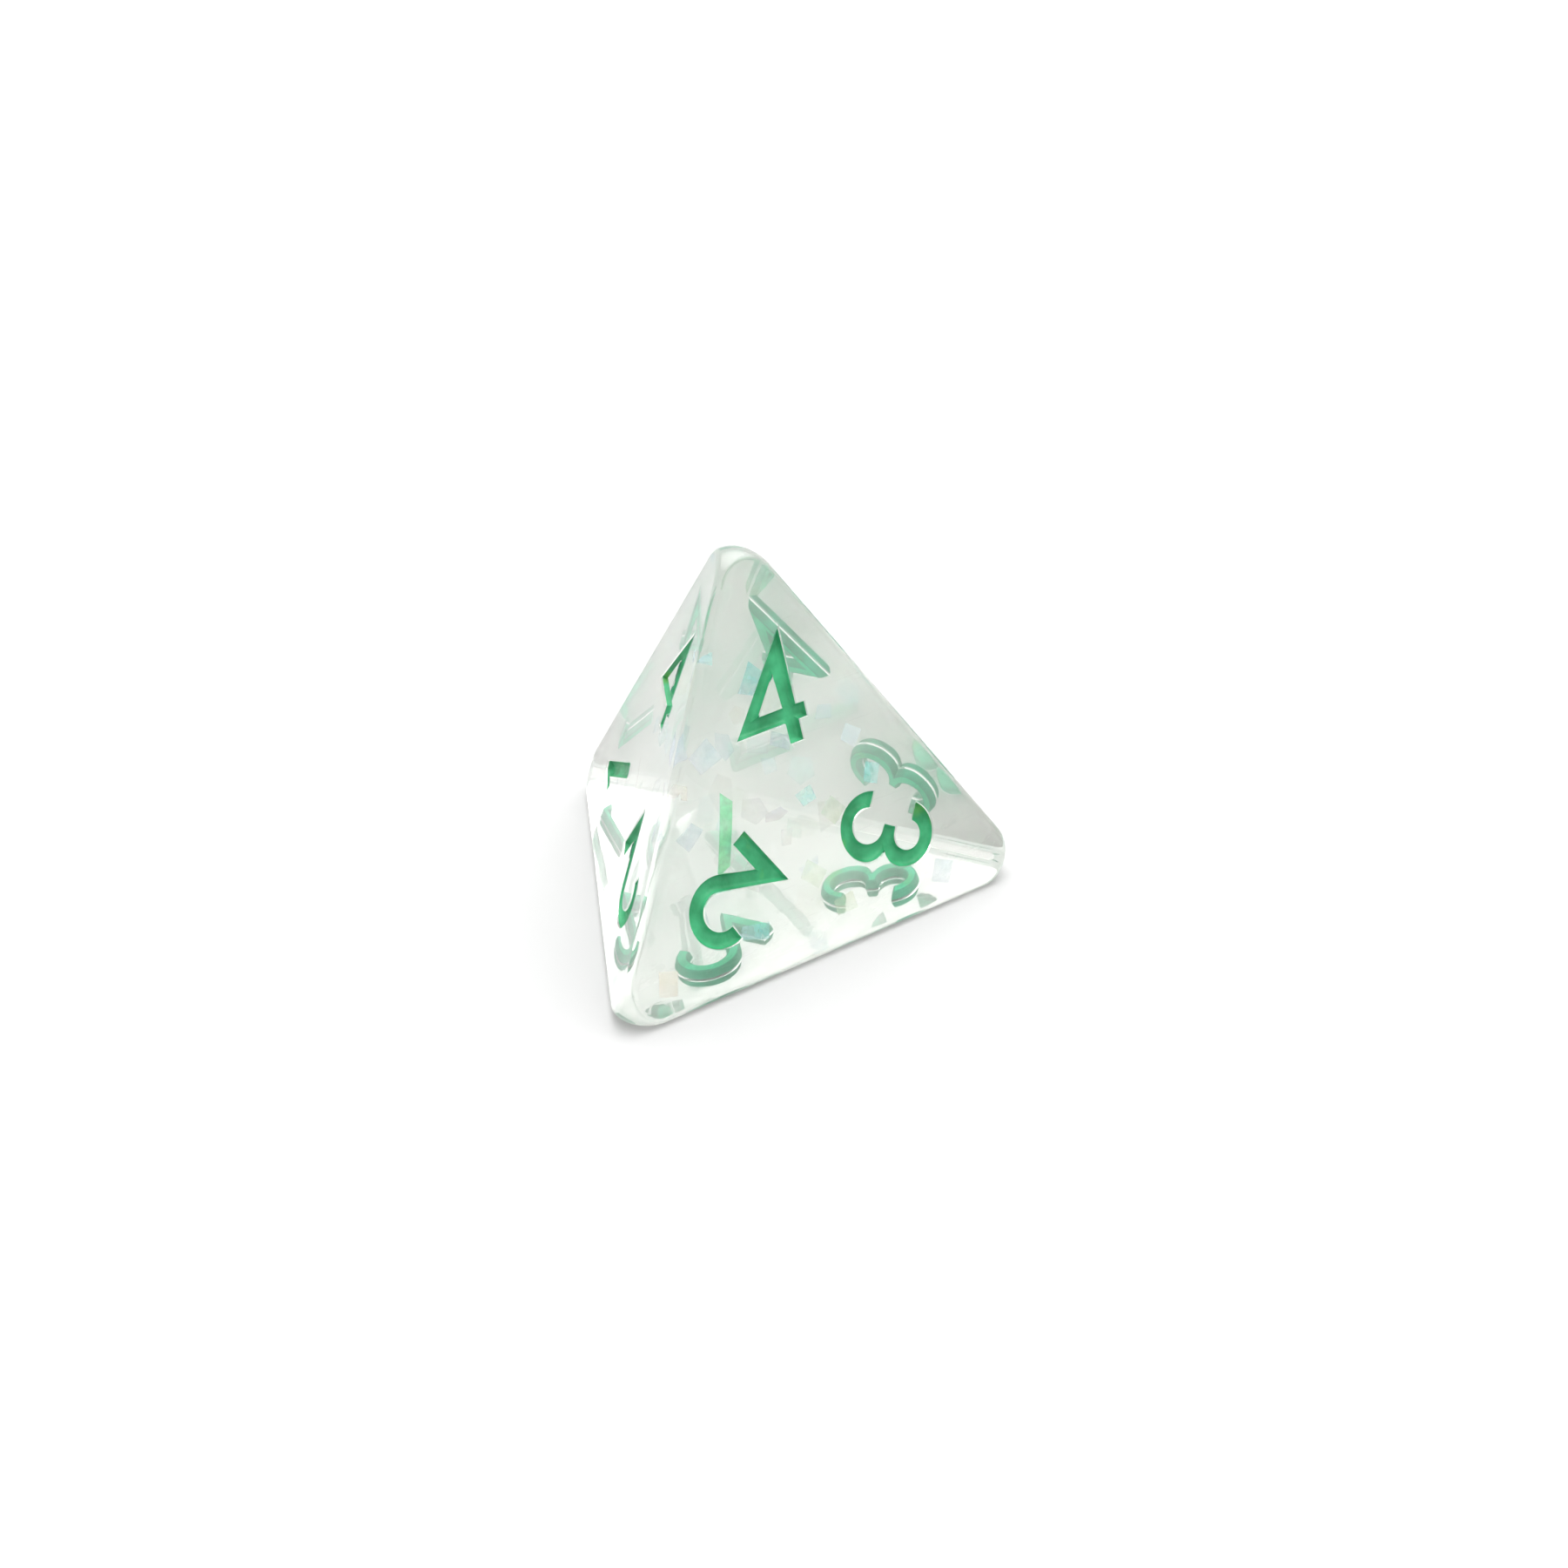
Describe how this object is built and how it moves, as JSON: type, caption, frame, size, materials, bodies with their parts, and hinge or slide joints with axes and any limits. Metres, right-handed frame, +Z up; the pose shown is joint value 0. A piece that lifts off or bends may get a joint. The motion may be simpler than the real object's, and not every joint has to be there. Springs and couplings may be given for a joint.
{
  "type": "four-sided gaming die",
  "caption": "Clear resin tetrahedral gaming die with engraved, green-painted corner numerals and iridescent film flakes cast inside.",
  "frame": {"origin": "centre of the base face, the flat face the die rests on", "axes": "+Z up through the top corner, -Y towards the front face's side, +X to the right as the front face is seen"},
  "size_m": [0.019, 0.0168, 0.0157],
  "materials": {
    "clear_resin": "polished",
    "green_paint": "satin",
    "iridescent_film": "gloss"
  },
  "bodies": {
    "root": {"film_flake_01": "iridescent_film", "film_flake_02": "iridescent_film", "film_flake_03": "iridescent_film", "film_flake_04": "iridescent_film", "film_flake_05": "iridescent_film", "film_flake_06": "iridescent_film", "film_flake_07": "iridescent_film", "film_flake_08": "iridescent_film", "film_flake_09": "iridescent_film", "film_flake_10": "iridescent_film", "film_flake_11": "iridescent_film", "film_flake_12": "iridescent_film", "film_flake_13": "iridescent_film", "film_flake_14": "iridescent_film", "film_flake_15": "iridescent_film", "film_flake_16": "iridescent_film", "film_flake_17": "iridescent_film", "film_flake_18": "iridescent_film", "film_flake_19": "iridescent_film", "film_flake_20": "iridescent_film", "film_flake_21": "iridescent_film", "film_flake_22": "iridescent_film", "film_flake_23": "iridescent_film", "film_flake_24": "iridescent_film", "film_flake_25": "iridescent_film", "film_flake_26": "iridescent_film", "film_flake_27": "iridescent_film", "film_flake_28": "iridescent_film", "film_flake_29": "iridescent_film", "film_flake_30": "iridescent_film", "film_flake_31": "iridescent_film", "film_flake_32": "iridescent_film", "film_flake_33": "iridescent_film", "film_flake_34": "iridescent_film", "film_flake_35": "iridescent_film", "film_flake_36": "iridescent_film", "film_flake_37": "iridescent_film", "film_flake_38": "iridescent_film", "film_flake_39": "iridescent_film", "film_flake_40": "iridescent_film", "film_flake_41": "iridescent_film", "film_flake_42": "iridescent_film", "paint_base_1": "green_paint", "paint_base_2": "green_paint", "paint_base_3": "green_paint", "paint_front_2": "green_paint", "paint_front_3": "green_paint", "paint_front_4": "green_paint", "paint_left_1": "green_paint", "paint_left_2": "green_paint", "paint_left_4": "green_paint", "paint_right_1": "green_paint", "paint_right_3": "green_paint", "paint_right_4": "green_paint", "resin_body": "clear_resin"}
  },
  "joints": []
}
